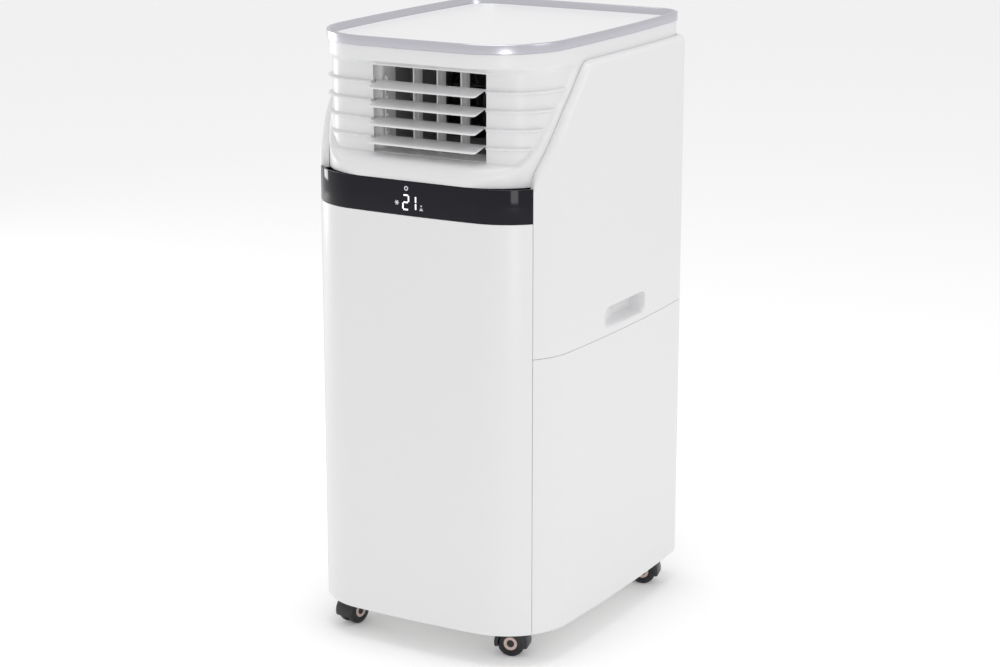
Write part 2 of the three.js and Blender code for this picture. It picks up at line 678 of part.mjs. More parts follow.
addPart('display_board', displayBoard(), FINISH.boardGreen);
addPart('splash_motor', splashMotor(), FINISH.paintedSteel);
addPart('splash_wheel', splashWheel(), FINISH.whiteInner);

CASTERS.forEach((caster, i) => {
  addPart(`caster_hood_${i + 1}`, placed(casterHood(), caster), FINISH.blackCaster);
  addPart(`caster_wheel_${i + 1}`, placed(casterWheel(), caster), FINISH.blackCaster);
});

export default group;
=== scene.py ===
import math

import bmesh
import bpy
import numpy as np
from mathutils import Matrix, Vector


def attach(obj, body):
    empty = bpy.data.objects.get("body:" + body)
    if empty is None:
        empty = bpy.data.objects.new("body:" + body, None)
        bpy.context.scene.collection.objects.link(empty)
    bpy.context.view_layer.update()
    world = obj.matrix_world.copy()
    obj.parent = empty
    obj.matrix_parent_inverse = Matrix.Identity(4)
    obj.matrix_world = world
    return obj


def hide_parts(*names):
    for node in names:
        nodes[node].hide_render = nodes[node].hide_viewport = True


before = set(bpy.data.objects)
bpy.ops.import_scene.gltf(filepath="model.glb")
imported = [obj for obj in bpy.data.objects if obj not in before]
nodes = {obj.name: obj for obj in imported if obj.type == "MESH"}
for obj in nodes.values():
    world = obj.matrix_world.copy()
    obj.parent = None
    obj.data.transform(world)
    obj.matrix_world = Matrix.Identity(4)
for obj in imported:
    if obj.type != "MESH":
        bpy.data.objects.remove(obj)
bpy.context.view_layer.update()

# Every length below is in millimetres, and every height is above the underside of the body,
# which stands LIFT above the floor.
MM = 0.001
LIFT = 44.0
SIDE_SEAM = 379.0
PANEL_TOP = 558.0
DISPLAY_TOP = 603.0
SHOULDER = 754.0
HEAD_TOP = 773.2
RIM_TOP = 786.0
PLATE_TOP = 777.0
GAP = 0.3
WALL = 3.0
OUTLET_LEFT = 74.0
OUTLET_RIGHT = 97.0
OUTLET_LOW = 631.0
OUTLET_HIGH = 745.0
BLADE_HEIGHTS = (723.0, 699.0, 675.0, 651.0)
BLADE_PIVOT_Y = -192.0
BLADE_TILT = math.radians(12)
WHEEL_RADIUS = 19.0
FLOOR_REACH = 20000
CASTER_TRAIL = 12.0
CASTERS = (((-130, -166), -100), ((130, -166), -165), ((134, 164), 15), ((-134, 164), 100))


# ------------------------------------------------------------------ plan curves

# Points on each of the five arcs of half an outline: front, corner, side, rear corner, rear.
ARC_POINTS = 600
FRONT_ARC = slice(0, ARC_POINTS)
BACK_ARCS = slice(3 * ARC_POINTS, None)


class Plan:
    """Closed plan outline of tangent arcs: bowed front, corner, bowed side, rear corner, rear.

    at(s) gives points and outward normals for s, the length along the outline from the middle
    of the front, positive to the right; the left half is the right half mirrored.
    """

    def __init__(self, half, front, front_sag, corner, side_sag, rear, rear_sag, rear_corner):
        middle, reach = (front + rear) / 2, (rear - front) / 2
        front_r, side_r, rear_r = (
            (a * a + b * b) / (2 * b)
            for a, b in ((half, front_sag), (reach, side_sag), (half, rear_sag))
        )
        c_front = np.array([0.0, front + front_r])
        c_side = np.array([half - side_r, middle])
        c_rear = np.array([0.0, rear - rear_r])
        c_corner = self.rolled(c_front, front_r, c_side, side_r, corner, -1)
        c_back = self.rolled(c_rear, rear_r, c_side, side_r, rear_corner, 1)
        turns = [-math.pi / 2] + [
            math.atan2(*(a - b)[::-1])
            for a, b in ((c_corner, c_front), (c_corner, c_side), (c_back, c_side), (c_back, c_rear))
        ] + [math.pi / 2]
        radii = (front_r, corner, side_r, rear_corner, rear_r)
        centres = (c_front, c_corner, c_side, c_back, c_rear)
        angles = [np.linspace(a, b, ARC_POINTS) for a, b in zip(turns[:-1], turns[1:])]
        self.points = np.concatenate([
            c + r * np.stack([np.cos(t), np.sin(t)], 1) for c, r, t in zip(centres, radii, angles)
        ])
        turn = np.concatenate(angles)
        self.normals = np.stack([np.cos(turn), np.sin(turn)], 1)
        steps = np.hypot(*np.diff(self.points, axis=0).T)
        self.length = np.concatenate([[0], np.cumsum(steps)])
        self.total = self.length[-1]

    @staticmethod
    def rolled(first, first_r, second, second_r, radius, towards):
        """Centre of a circle that touches two larger ones from inside: where two circles meet."""
        a, b, span = first_r - radius, second_r - radius, second - first
        distance = np.hypot(*span)
        along = (a * a - b * b + distance * distance) / (2 * distance)
        across = math.sqrt(max(a * a - along * along, 0.0))
        unit = span / distance
        normal = np.array([-unit[1], unit[0]])
        options = [first + unit * along + normal * h for h in (across, -across)]
        return max(options, key=lambda p: p[0] + towards * p[1])

    def at(self, s):
        """Points and outward normals at the lengths s."""
        s = (np.asarray(s, float) + self.total) % (2 * self.total) - self.total
        side = np.where(s < 0, -1.0, 1.0)
        columns = [np.interp(np.abs(s), self.length, c) for c in (*self.points.T, *self.normals.T)]
        x, y, nx, ny = columns
        scale = np.hypot(nx, ny)
        return np.stack([x * side, y], -1), np.stack([nx * side / scale, ny / scale], -1)

    def s_at_y(self, y):
        """Length at which the right half is at y."""
        return np.interp(y, self.points[:, 1], self.length)

    def s_at_rear_x(self, x):
        """Length at which the back of the right half is at x."""
        return np.interp(-np.asarray(x, float), -self.points[BACK_ARCS, 0], self.length[BACK_ARCS])


BODY = Plan(187.45, -231, 9.8, 94, 9.5, 231, 0.5, 45)
HEAD = Plan(175, -229, 3, 100, 8.7, 225, 0.5, 40)
SEAM_S = float(BODY.s_at_y(-195.0))
SEAM_GAP = 0.35


def closed_run(plan, count):
    """Even lengths once round the outline, without the repeated last one."""
    return np.linspace(-plan.total, plan.total, count, endpoint=False)


def smooth(t):
    """The S-shaped step 3t² - 2t³, held at 0 below 0 and at 1 above 1."""
    t = np.clip(t, 0, 1)
    return t * t * (3 - 2 * t)


# ------------------------------------------------------------------ meshes

def grid_faces(rows, columns, start=0, close_rows=False, close_columns=False, keep=None):
    """Quads between neighbouring points of a grid, numbered row by row from start."""
    i = np.arange(rows if close_rows else rows - 1)[:, None]
    j = np.arange(columns if close_columns else columns - 1)[None, :]
    i2, j2 = (i + 1) % rows, (j + 1) % columns
    quads = np.stack(np.broadcast_arrays(
        i * columns + j, i2 * columns + j, i2 * columns + j2, i * columns + j2), -1)
    quads = quads.reshape(-1, 4) if keep is None else quads[keep]
    return (quads + start).tolist()


def lay_mesh(name, points, faces, material, sharp=40):
    """A mesh object at the origin, smooth but for edges sharper than the angle in degrees."""
    mesh = bpy.data.meshes.new(name)
    mesh.from_pydata((np.asarray(points).reshape(-1, 3) * MM).tolist(), [], faces)
    mesh.validate()
    mesh.materials.append(material)
    mesh.shade_smooth()
    mesh.set_sharp_from_angle(angle=math.radians(sharp))
    obj = bpy.data.objects.new(name, mesh)
    bpy.context.scene.collection.objects.link(obj)
    return obj


def loop_band(name, plan, s, loop, material, closed=False, sharp=40):
    """A closed loop of (inset, height) carried along the plan: outline - inset x normal.

    The two end faces of a band that isn't closed point inwards.
    """
    points, normals = plan.at(s)
    inset, height = np.asarray(loop, float).T
    flat = points[:, None, :] - normals[:, None, :] * inset[None, :, None]
    level = np.broadcast_to(height + LIFT, flat.shape[:2])
    grid = np.concatenate([flat, level[..., None]], -1)
    rows, columns = grid.shape[:2]
    faces = grid_faces(rows, columns, close_rows=closed, close_columns=True)
    if not closed:
        faces.append(list(range(columns))[::-1])
        faces.append([(rows - 1) * columns + k for k in range(columns)])
    return lay_mesh(name, grid, faces, material, sharp)


def rounded_loop(low, high, depth, radius, steps=4):
    """Section of a flat wall: a rectangle of inset 0..depth and low..high with rounded corners.

    Each corner is a quarter circle; the loop runs up the outside and down the inside.
    """
    corners = ((radius, low + radius, 270), (radius, high - radius, 180),
               (depth - radius, high - radius, 90), (depth - radius, low + radius, 0))
    loop = []
    for inset, height, start in corners:
        turn = np.radians(np.linspace(start, start - 90, steps + 1))
        loop += list(zip(inset + radius * np.cos(turn), height + radius * np.sin(turn)))
    return loop


def lathe(profile, origin, axis, steps=48, turn=(0, 360)):
    """Points and faces of a profile of (radius, distance along the axis) turned about the axis.

    A full turn closes on itself; a part turn is left open for a wall to be given to it.
    """
    axis = np.asarray(axis, float) / np.linalg.norm(axis)
    up = np.array([0, 0, 1.0]) if abs(axis[2]) < 0.9 else np.array([1.0, 0, 0])
    up = up - axis * (up @ axis)
    up /= np.linalg.norm(up)
    across = np.cross(axis, up)
    full = turn[1] - turn[0] >= 360
    angle = np.radians(np.linspace(*turn, steps, endpoint=not full))
    radius, along = np.asarray(profile, float).T
    spoke = np.cos(angle)[:, None] * up + np.sin(angle)[:, None] * across
    grid = (np.asarray(origin, float) + spoke[:, None, :] * radius[None, :, None]
            + axis * along[None, :, None])
    return grid, full


def lathe_mesh(name, parts, material, sharp=35):
    """One mesh of several closed lathe shapes, each a list of (radius, along) round its axis."""
    points, faces, start = [], [], 0
    for profile, origin, axis in parts:
        grid, full = lathe(profile, origin, axis)
        rows, columns = grid.shape[:2]
        faces += [face[::-1] for face in grid_faces(rows, columns, start, full, False)]
        points.append(grid.reshape(-1, 3))
        start += rows * columns
    obj = lay_mesh(name, np.concatenate(points), faces, material, sharp)
    merge(obj, sharp)
    return obj


def merge(obj, sharp):
    """Points that meet become one, collapsed faces go, and faces are turned outwards."""
    work = bmesh.new()
    work.from_mesh(obj.data)
    bmesh.ops.remove_doubles(work, verts=work.verts, dist=0.00001)
    bmesh.ops.dissolve_degenerate(work, edges=work.edges, dist=0.000005)
    bmesh.ops.recalc_face_normals(work, faces=work.faces)
    work.to_mesh(obj.data)
    work.free()
    obj.data.shade_smooth()
    obj.data.set_sharp_from_angle(angle=math.radians(sharp))


def give_wall(obj, thickness, edge=0.5, sharp=40):
    """Gives an open surface its wall, inwards, and softens the wall's edges."""
    wall = obj.modifiers.new("wall", "SOLIDIFY")
    wall.thickness = thickness * MM
    wall.offset = -1
    wall.use_even_offset = False
    graph = bpy.context.evaluated_depsgraph_get()
    solid = bpy.data.meshes.new_from_object(obj.evaluated_get(graph))
    obj.modifiers.clear()
    obj.data = solid
    solid.set_sharp_from_angle(angle=math.radians(sharp))
    soften(obj, edge)


def soften(obj, width, segments=2, angle=40):
    """Rounds the sharp edges, so that they catch a thin line of light."""
    bevel = obj.modifiers.new("edges", "BEVEL")
    bevel.width = width * MM
    bevel.segments = segments
    bevel.limit_method = "ANGLE"
    bevel.angle_limit = math.radians(angle)
    bevel.harden_normals = True
    bevel.use_clamp_overlap = True


# Depth along Y behind which the duct is painted dark grey: painted shade deep in the recess behind the
# blades.
PAINTED_SHADE_Y = -150.0


# ------------------------------------------------------------------ materials

def linear(code):
    """sRGB hex to linear, by the sRGB curve."""
    value = np.array([int(code[k:k + 2], 16) / 255 for k in (1, 3, 5)])
    return (*np.where(value <= 0.04045, value / 12.92, ((value + 0.055) / 1.055) ** 2.4), 1.0)


def add_node(tree, kind, links=(), **settings):
    """Adds a node, sets its properties or inputs by name, and links (input, source socket)."""
    node = tree.nodes.new(kind)
    for name, value in settings.items():
        if hasattr(node, name):
            setattr(node, name, value)
        else:
            node.inputs[name.replace("_", " ")].default_value = value
    for name, source in links:
        tree.links.new(source, node.inputs[name])
    return node


def new_material(name, color, roughness, metallic=0.0, ior=1.5, coat=0.0):
    """A material with its even values set on the shader itself."""
    material = bpy.data.materials.new(name)
    material.use_nodes = True
    shader = material.node_tree.nodes["Principled BSDF"]
    shader.inputs["Base Color"].default_value = linear(color)
    shader.inputs["Roughness"].default_value = roughness
    shader.inputs["Metallic"].default_value = metallic
    shader.inputs["IOR"].default_value = ior
    shader.inputs["Coat Weight"].default_value = coat
    return material, material.node_tree, shader


def grain(tree, shader, size, depth, detail=2.0):
    """Fine relief of noise: one cell per size, depth deep, both in millimetres."""
    place = add_node(tree, "ShaderNodeTexCoord")
    noise = add_node(tree, "ShaderNodeTexNoise", [("Vector", place.outputs["Object"])],
                     Scale=1 / (size * MM), Detail=detail)
    bump = add_node(tree, "ShaderNodeBump", [("Height", noise.outputs["Fac"])],
                    Strength=1.0, Distance=depth * MM)
    tree.links.new(bump.outputs["Normal"], shader.inputs["Normal"])


def satin_moulded_abs():
    """White ABS from a polished mould: clean and bright, with soft, wide reflections."""
    material, tree, shader = new_material("satin_moulded_abs", "#e4e4e5", 0.32, ior=1.53)
    grain(tree, shader, 2.0, 0.004)
    return material


def fine_textured_abs():
    """White ABS from a spark-eroded mould: the even grain kills sharp reflections."""
    material, tree, shader = new_material("fine_textured_abs", "#e6e6e5", 0.5, ior=1.53)
    grain(tree, shader, 0.8, 0.01)
    return material


def satin_plated_abs():
    """ABS plated and brushed to a satin: a lilac-grey metal with broad, soft glints."""
    material, tree, shader = new_material("satin_plated_abs", "#cdccd4", 0.26, metallic=1.0)
    grain(tree, shader, 1.5, 0.002)
    return material


def black_acrylic():
    """Cast black acrylic under an anti-reflection hard coat: a deep, slightly violet black."""
    material, _, shader = new_material("black_acrylic", "#16141c", 0.08, ior=1.49)
    shader.inputs["Specular IOR Level"].default_value = 0.22
    return material


def charcoal_polypropylene():
    """Moulded polypropylene in charcoal: matt, a little waxy."""
    material, tree, shader = new_material("charcoal_polypropylene", "#2c2c2e", 0.55)
    grain(tree, shader, 1.0, 0.01)
    return material


def black_nylon():
    """Moulded nylon, worn smooth by rolling: near black with a low sheen."""
    material, tree, shader = new_material("black_nylon", "#141319", 0.38, ior=1.53)
    grain(tree, shader, 1.2, 0.008)
    return material


def hub_polyoxymethylene():
    """Turned acetal hub in pale rose-grey: smooth, faintly glossy."""
    return new_material("hub_polyoxymethylene", "#cbb5ad", 0.35, ior=1.48)[0]


def lit_symbol():
    """Diffuser film lit from behind: an even, cool white glow."""
    material, _, shader = new_material("lit_symbol", "#f2f4f8", 0.5)
    shader.inputs["Emission Color"].default_value = linear("#f2f4f8")
    shader.inputs["Emission Strength"].default_value = 0.7
    return material


def dim_symbol():
    """The same film, dimmed: a soft grey glow."""
    material, _, shader = new_material("dim_symbol", "#b9bcc4", 0.5)
    shader.inputs["Emission Color"].default_value = linear("#b9bcc4")
    shader.inputs["Emission Strength"].default_value = 0.35
    return material


def duct_with_painted_light_and_shade():
    """Moulded polystyrene with painted light and shade: a paler white than the body at the mouth, a painted
    highlight that lifts the shaded flare, and dark grey behind the throat, the recess's painted shade.
    """
    material, tree, shader = new_material("duct_with_painted_light_and_shade", "#fafafa", 0.55, ior=1.59)
    place = add_node(tree, "ShaderNodeTexCoord")
    split = add_node(tree, "ShaderNodeSeparateXYZ", [("Vector", place.outputs["Object"])])
    # Painted light and shade: dark grey past the set depth stands in for the recess's shade, and the paler
    # white in front of it for light on the flare.
    painted_shade_mask = add_node(tree, "ShaderNodeMath", [(0, split.outputs["Y"])], operation="GREATER_THAN")
    painted_shade_mask.inputs[1].default_value = PAINTED_SHADE_Y * MM
    mix = add_node(tree, "ShaderNodeMix", [("Factor", painted_shade_mask.outputs[0])], data_type="RGBA")
    mix.inputs["A"].default_value = linear("#fafafa")
    mix.inputs["B"].default_value = linear("#8c8b8d")
    tree.links.new(mix.outputs["Result"], shader.inputs["Base Color"])
    return material


BANDS_PER_METRE = 100
# A band texture of scale 2 pi / 20, about 0.31, has one band to each unit of length.
WAVE_SCALE = 0.31


def woven_filter():
    """Woven polypropylene mesh, drawn as crossing bands about 10 mm apart."""
    material, tree, shader = new_material("woven_filter", "#7a858c", 0.7)
    place = add_node(tree, "ShaderNodeTexCoord")
    bands = [
        add_node(tree, "ShaderNodeTexWave", [("Vector", place.outputs["Object"])],
                 bands_direction=axis, Scale=BANDS_PER_METRE * WAVE_SCALE)
        for axis in "XZ"
    ]
    mix = add_node(tree, "ShaderNodeMath",
                   [(0, bands[0].outputs["Fac"]), (1, bands[1].outputs["Fac"])], operation="MULTIPLY")
    bump = add_node(tree, "ShaderNodeBump", [("Height", mix.outputs[0])], Strength=1.0, Distance=0.3 * MM)
    tree.links.new(bump.outputs["Normal"], shader.inputs["Normal"])
    return material


def rolled_aluminium():
    """Thin rolled aluminium fins: bright, with a soft sheen."""
    return new_material("rolled_aluminium", "#c9cccd", 0.35, metallic=1.0)[0]


def galvanised_steel():
    """Zinc-coated sheet steel: mid grey with a faint mottle."""
    material, tree, shader = new_material("galvanised_steel", "#a5a8aa", 0.42, metallic=1.0)
    grain(tree, shader, 6.0, 0.02)
    return material


def black_enamel():
    """Sprayed black enamel on steel: an even satin black."""
    return new_material("black_enamel", "#1b1c1e", 0.3, coat=0.3)[0]


def solder_resist():
    """Green solder resist on an epoxy board: flat green with a light gloss."""
    return new_material("solder_resist", "#2f6b45", 0.45)[0]


def painted_floor():
    """Matt white emulsion on a lit cyclorama: an even white."""
    material, _, shader = new_material("painted_floor", "#fbfbfb", 0.9)
    shader.inputs["Emission Color"].default_value = (1, 1, 1, 1)
    shader.inputs["Emission Strength"].default_value = 0.12
    return material


def grey_foam():
    """Expanded polystyrene, dyed grey: dull and even."""
    material, tree, shader = new_material("grey_foam", "#98999b", 0.85)
    grain(tree, shader, 3.0, 0.2)
    return material


WHITE = satin_moulded_abs()
TEXTURED = fine_textured_abs()
PLATED = satin_plated_abs()
ACRYLIC = black_acrylic()
CHARCOAL = charcoal_polypropylene()
NYLON = black_nylon()
HUB = hub_polyoxymethylene()
LIT = lit_symbol()
DIM = dim_symbol()
DUCT = duct_with_painted_light_and_shade()


# ------------------------------------------------------------------ front panel and display

def front_run(count):
    """Lengths along the body's outline between the two vertical seams."""
    return np.linspace(-SEAM_S + SEAM_GAP, SEAM_S - SEAM_GAP, count)


def front_panel():
    """Front panel: a flat wall with rounded edges, carried between the two vertical seams."""
    loop = rounded_loop(0.2, PANEL_TOP - GAP, WALL, 0.7)
    panel = loop_band("front_panel_moulding", BODY, front_run(161), loop, WHITE)
    soften(panel, 0.4)
    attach(panel, "cabinet")
    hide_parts("front_panel")


def display_window():
    """Display window: the same kind of wall, set back by 0.3 mm. Its symbols stand 0.2 mm proud."""
    loop = [(inset + 0.3, height) for inset, height in
            rounded_loop(PANEL_TOP + GAP, DISPLAY_TOP - GAP, WALL, 0.4)]
    window = loop_band("display_window_acrylic", BODY, front_run(161), loop, ACRYLIC)
    soften(window, 0.3)
    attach(window, "cabinet")
    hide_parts("display_window")


def symbol_mesh(name, strokes, material):
    """Flat strokes on the display: boxes between two (x, height) ends, laid on the front bow.

    Each box is its end points moved by half the stroke width along and across it, at two depths.
    """
    ends = np.array([stroke[:4] for stroke in strokes], float)
    width = np.array([stroke[4] for stroke in strokes], float)[:, None]
    a, b = ends[:, :2], ends[:, 2:]
    along = b - a
    along /= np.linalg.norm(along, axis=1, keepdims=True)
    across = np.stack([-along[:, 1], along[:, 0]], 1) * width / 2
    ring = np.stack([a - across, b - across, b + across, a + across], 1)
    front_bow = np.interp(np.abs(ring[..., 0]), *BODY.points[FRONT_ARC].T)
    layers = [
        np.stack([ring[..., 0], front_bow + depth, ring[..., 1] + LIFT], -1) for depth in (0.08, 0.5)
    ]
    points = np.stack(layers, 1).reshape(-1, 3)
    box = np.array([[0, 1, 2, 3], [7, 6, 5, 4], [0, 4, 5, 1], [1, 5, 6, 2], [2, 6, 7, 3], [3, 7, 4, 0]])
    faces = (box[None] + 8 * np.arange(len(strokes))[:, None, None]).reshape(-1, 4)
    obj = lay_mesh(name, points, faces.tolist(), material)
    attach(obj, "cabinet")
    return obj


def ring_strokes(x, height, radius, count, width):
    """Short strokes end to end round a circle."""
    angle = np.linspace(0, 2 * math.pi, count + 1)
    px, pz = x + radius * np.cos(angle), height + radius * np.sin(angle)
    return [(px[k], pz[k], px[k + 1], pz[k + 1], width) for k in range(count)]


def display_symbols():
    """The digits 2 and 1, a ring above, a star at the left and a small stack at the right.

    The 2 has bars on a box of half-height half and half-width wide; the 1 is two upright bars.
    """
    half, wide, stroke = 9.4, 4.3, 2.0
    two, one, middle = -6.4, 8.6, 575.4
    top, low = middle + half, middle - half
    digits = [
        (two - wide + 1, top, two + wide - 0.6, top, stroke),
        (two + wide, top - 0.8, two + wide, middle + 0.9, stroke),
        (two - wide + 1, middle, two + wide - 1, middle, stroke),
        (two - wide, middle - 0.9, two - wide, low + 0.8, stroke),
        (two - wide + 0.6, low, two + wide - 1, low, stroke),
        (one, top - 1, one, middle + 0.8, stroke),
        (one, middle - 0.8, one, low + 1, stroke),
    ]
    symbol_mesh("display_digits", digits, LIT)
    spokes = [
        (-20 - 3.2 * c, 574 - 3.2 * s, -20 + 3.2 * c, 574 + 3.2 * s, 1.3)
        for c, s in ((math.cos(t), math.sin(t)) for t in np.radians([0, 60, 120]))
    ]
    dial = ring_strokes(-5.6, 593.8, 2.4, 12, 1.5)
    person = [(17, 571.5, 17, 573.4, 2.0), (14.4, 567, 19.6, 567, 1.2), (15.4, 568.8, 18.6, 568.8, 1.2)]
    symbol_mesh("display_icons", spokes + dial + person, DIM)


# ------------------------------------------------------------------ head with the outlet dish

# Slanting edge of the dish in the side view: height, and depth along Y.
DISH_EDGE = np.array([
    (600.0, -235.0), (612.0, -222.0), (620.5, -205.0), (633.0, -190.0), (650.5, -175.0),
    (675.5, -159.4), (699.0, -142.4), (722.5, -119.0), (761.0, -92.0), (790.0, -72.0),
])


def dish_depth(points, normals, height):
    """How far the dish lies behind the head's outline.

    Full depth is 4 + 24 cos⁴ of the normal's turn from the front. It is reached through a
    quarter-round lip below, a soft step above and an S-shaped step along the slanting edge.
    """
    facing = np.clip(-normals[..., 1], 0, 1)
    full = 4 + 24 * facing ** 4
    lip = 1 - np.sqrt(1 - np.clip((height - 606) / 24.5, 0, 1) ** 2)
    step = 1 - smooth((height - 746) / 10)
    edge = np.interp(height, DISH_EDGE[:, 0], DISH_EDGE[:, 1])
    slant = smooth((edge - points[..., 1]) * 0.827 / 7)
    return full * lip * step * slant


def head_surface(s, height, proud=0.0):
    """Points of the head for lengths s and heights, lifted off the dish floor by proud."""
    flat, normals = HEAD.at(s)
    height = np.broadcast_to(height, flat.shape[:-1])
    proud = np.asarray(proud)
    depth = np.maximum(dish_depth(flat, normals, height) - proud, np.where(proud > 0, -0.9, 0))
    flat = flat - normals * depth[..., None]
    return np.concatenate([flat, height[..., None] + LIFT], -1)


def outlet_edge_s(reach):
    """Length along the head's outline at which the dish floor is reach from the middle."""
    s = np.linspace(20, 240, 4000)
    x = head_surface(s, 700.0)[:, 0]
    return float(np.interp(reach, x, s))


def head_shell():
    """Head moulding: the dished outline from the display up to the rim, on a grid.

    The faces within the outlet are left out, and those at the back round the upper intake.
    """
    left_edge, edge = outlet_edge_s(OUTLET_LEFT), outlet_edge_s(OUTLET_RIGHT)
    dish_end = HEAD.s_at_y(-70.0)
    right = np.unique(np.concatenate([
        np.linspace(0, left_edge, 22), np.linspace(left_edge, edge, 9),
        np.linspace(edge, dish_end, 90), np.linspace(dish_end, HEAD.total, 40),
    ]))
    s = np.concatenate([-right[:0:-1], right[:-1]])
    height = np.unique(np.concatenate([
        np.linspace(DISPLAY_TOP + GAP, 610, 4), np.linspace(610, OUTLET_LOW, 26),
        np.linspace(OUTLET_LOW, OUTLET_HIGH, 40), np.linspace(OUTLET_HIGH, 758, 16),
        np.linspace(758, HEAD_TOP, 8),
    ]))
    points = head_surface(np.repeat(s[:, None], len(height), 1), height)
    mid_s = (s + np.roll(s, -1)) / 2
    mid_s[-1] = HEAD.total
    mid_z = (height[1:] + height[:-1]) / 2
    across = (mid_s > -left_edge) & (mid_s < edge)
    upright = (mid_z > OUTLET_LOW) & (mid_z < OUTLET_HIGH)
    outlet = across[:, None] & upright[None]
    rear = (np.abs(mid_s) > HEAD.total - 130)[:, None] & (mid_z < 742)[None]
    faces = grid_faces(len(s), len(height), close_rows=True, keep=~(outlet | rear))
    head = lay_mesh("head_moulding", points, faces, WHITE, sharp=60)
    give_wall(head, 2.6, 0.8)
    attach(head, "cabinet")
    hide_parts("head_shell")


def dish_ribs():
    """Ribs on the dish floor: a half-ellipse section carried along it at one height.

    The section stands 6 mm proud, and sinks to nothing over the last of its length.
    """
    turn = np.linspace(-0.5 * math.pi, 0.5 * math.pi, 9)
    for row, level in enumerate(BLADE_HEIGHTS, 1):
        end = HEAD.s_at_y(np.interp(level, DISH_EDGE[:, 0], DISH_EDGE[:, 1]) - 4)
        for side, word, reach in ((1, "right", OUTLET_RIGHT), (-1, "left", OUTLET_LEFT)):
            s = side * np.linspace(outlet_edge_s(reach) + 0.3, end, 70)[::side]
            out = 6.0 * np.cos(turn)
            rise = 1.9 * np.sin(turn)
            fade = smooth(np.abs(s - s[-1 if side > 0 else 0]) / 12)
            wave = np.stack([head_surface(s, level + dz, p * fade) for p, dz in zip(out, rise)], 1)
            back = np.stack([head_surface(s, level + dz, -1.2) for dz in (rise[-1], rise[0])], 1)
            grid = np.concatenate([wave, back], 1)
            rows, columns = grid.shape[:2]
            faces = grid_faces(rows, columns, close_columns=True)
            faces += [list(range(columns))[::-1], [(rows - 1) * columns + k for k in range(columns)]]
            rib = lay_mesh(f"dish_rib_{word}_{row}", grid, faces, WHITE, sharp=60)
            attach(rib, "cabinet")


# ------------------------------------------------------------------ rim and top

def top_rim():
    """Plated ring: outer face with softened edges, narrow flat top, slope down to the plate."""
    outer, low, high = -1.5, HEAD_TOP + GAP, RIM_TOP
    loop = [(outer + 0.8, low), (outer, low + 0.8), (outer, high - 1.6), (outer + 0.25, high - 0.8),
            (outer + 0.8, high - 0.25), (outer + 1.6, high), (2.6, high), (3.1, high - 0.25),
            (3.5, high - 0.8), (7.5, PLATE_TOP + 0.4), (7.5, low)]
    rim = loop_band("top_rim_plated", HEAD, closed_run(HEAD, 420), loop, PLATED, True, sharp=30)
    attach(rim, "cabinet")
    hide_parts("top_rim")


def top_plate():
    """Plate inside the rim: rings of the outline shrunk towards the middle, dished by 1.2 mm.

    Its outer edge is open under the rim.
    """
    s = closed_run(HEAD, 240)
    points, normals = HEAD.at(s)
    edge = points - normals * 7.9
    share = np.concatenate([np.linspace(0, 0.94, 10), [0.985, 0.996, 1.0]])
    sink = np.concatenate([np.full(10, 1.2), [1.0, 0.4, 0.0]])
    sink[-1] = 0.3
    top = np.concatenate([
        edge[:, None, :] * share[None, :, None],
        np.broadcast_to(PLATE_TOP - sink + LIFT, (len(s), len(share)))[..., None],
    ], -1)
    under = np.concatenate([edge[:, None, :] * np.array([1.0, 0.0])[None, :, None],
                            np.full((len(s), 2, 1), HEAD_TOP + GAP + LIFT)], -1)
    grid = np.concatenate([top[:, ::-1], under], 1)[:, ::-1]
    plate = lay_mesh("top_plate_moulding", grid, grid_faces(*grid.shape[:2], close_rows=True), WHITE)
    merge(plate, 50)
    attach(plate, "cabinet")
    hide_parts("top_plate")


# ------------------------------------------------------------------ side and rear shells

# Upper edge of the upper shell in the side view: depth along Y, and height.
SHELL_EDGE = np.array([
    (-197.0, 570.0), (-195.2, 598.0), (-192.5, 612.0), (-188.0, 624.5), (-180.0, 637.5),
    (-160.0, 668.0), (-139.0, 695.0), (-114.5, 721.5), (-97.0, 742.0), (-91.5, 748.0),
    (-85.0, 752.3), (-76.0, SHOULDER), (400.0, SHOULDER),
])
# Openings in the back: left, right, low, high.
UPPER_WINDOW = (-118.0, 118.0, 585.0, 735.0)
LOWER_WINDOW = (-118.0, 118.0, 60.0, 335.0)
# Round holes in the back: place across, height, half-width of their square, radius.
PORT = (0.0, 462.0, 76.0, 66.4)
SCREWS = ((-132, 32), (132, 32), (-132, 366), (132, 366), (-132, 741), (132, 741))
UPPER_HOLES = [PORT] + [(x, z, 6.0, 3.9) for x, z in SCREWS[4:]]
LOWER_HOLES = [(60.0, 357.0, 11.0, 9.0), (60.0, 40.0, 11.0, 9.0), (-100.0, 40.0, 11.0, 8.4)]
LOWER_HOLES += [(x, z, 6.0, 3.9) for x, z in SCREWS[:4]]


def edge_distance(y, height):
    """Least distance in the side view from points to the shell's upper edge."""
    a, b = SHELL_EDGE[:-1], SHELL_EDGE[1:]
    point = np.stack([y, height], -1)[..., None, :]
    along = b - a
    t = np.clip(((point - a) * along).sum(-1) / (along * along).sum(-1), 0, 1)
    return np.linalg.norm(point - a - along * t[..., None], axis=-1).min(-1)


def grip_depth(y, height):
    """Depth of the grip pocket: a rounded slot with steep walls, deepest towards its rear end."""
    y, height = np.broadcast_arrays(y, height)
    reach = np.abs(np.stack([y - 16, height - 403], -1)) - np.array([61 - 13, 15 - 13])
    outside = np.linalg.norm(np.maximum(reach, 0), axis=-1)
    distance = outside + np.minimum(reach.max(-1), 0) - 13
    slope = np.interp(y, [-45, -20, 20, 50], [0.1, 0.42, 0.95, 1.0])
    wall = np.interp(height, [386, 396, 410, 420], [9.0, 7.0, 4.5, 3.5])
    return 22 * slope * smooth(-distance / wall)


def head_clearance(points):
    """Distance from points of the body's outline to the head's outline."""
    mirrored = np.stack([np.abs(points[:, 0]), points[:, 1]], -1)
    return np.linalg.norm(mirrored[:, None, :] - HEAD.points[None, ::10], axis=-1).min(-1)


